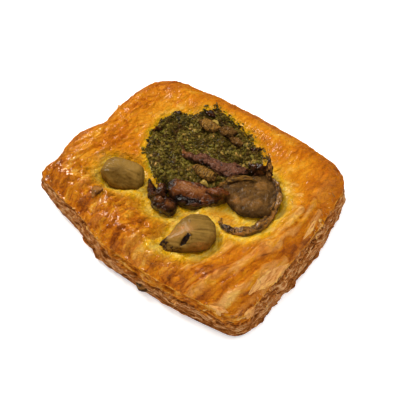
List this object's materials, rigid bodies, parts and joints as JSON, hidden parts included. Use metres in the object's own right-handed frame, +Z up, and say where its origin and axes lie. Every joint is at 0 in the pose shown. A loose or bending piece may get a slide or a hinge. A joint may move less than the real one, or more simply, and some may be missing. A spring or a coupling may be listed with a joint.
{
  "type": "savory danish pastry",
  "caption": "Puffed rectangular laminated pastry with a herb heap and cooked mushroom slices pressed into its top.",
  "frame": {"origin": "middle of the footprint at the flat underside", "axes": "+X along the long side, +Y across to the far long side, +Z up; the front edge of the picture is the corner between +X and -Y"},
  "size_m": [0.1255, 0.1035, 0.0254],
  "materials": {
    "dough": "egg-washed browned laminated dough",
    "herbs": "moist chopped cooked herbs",
    "stalk": "cooked mushroom stalk, satin",
    "cap": "cooked mushroom cap, wrinkled satin",
    "gills": "cooked mushroom gills, fibrous",
    "glazed": "browned mushroom with a wet gloss",
    "mauve": "cooked mushroom flesh, purplish brown",
    "dark": "charred mushroom edge, glossy"
  },
  "bodies": {
    "root": {"pastry": "dough", "herb_filling": "herbs", "stalk_left": "stalk", "stalk_front": "stalk", "cap_slice": "cap", "cap_edge_slice": "gills", "glazed_slice": "glazed", "gill_fan": "gills", "long_slice": "mauve", "dark_lump": "dark", "dark_wedge": "dark", "dark_knob": "dark", "dark_lobe": "dark", "top_slice_left": "gills", "top_slice_right": "mauve", "top_chip": "mauve"}
  },
  "joints": []
}
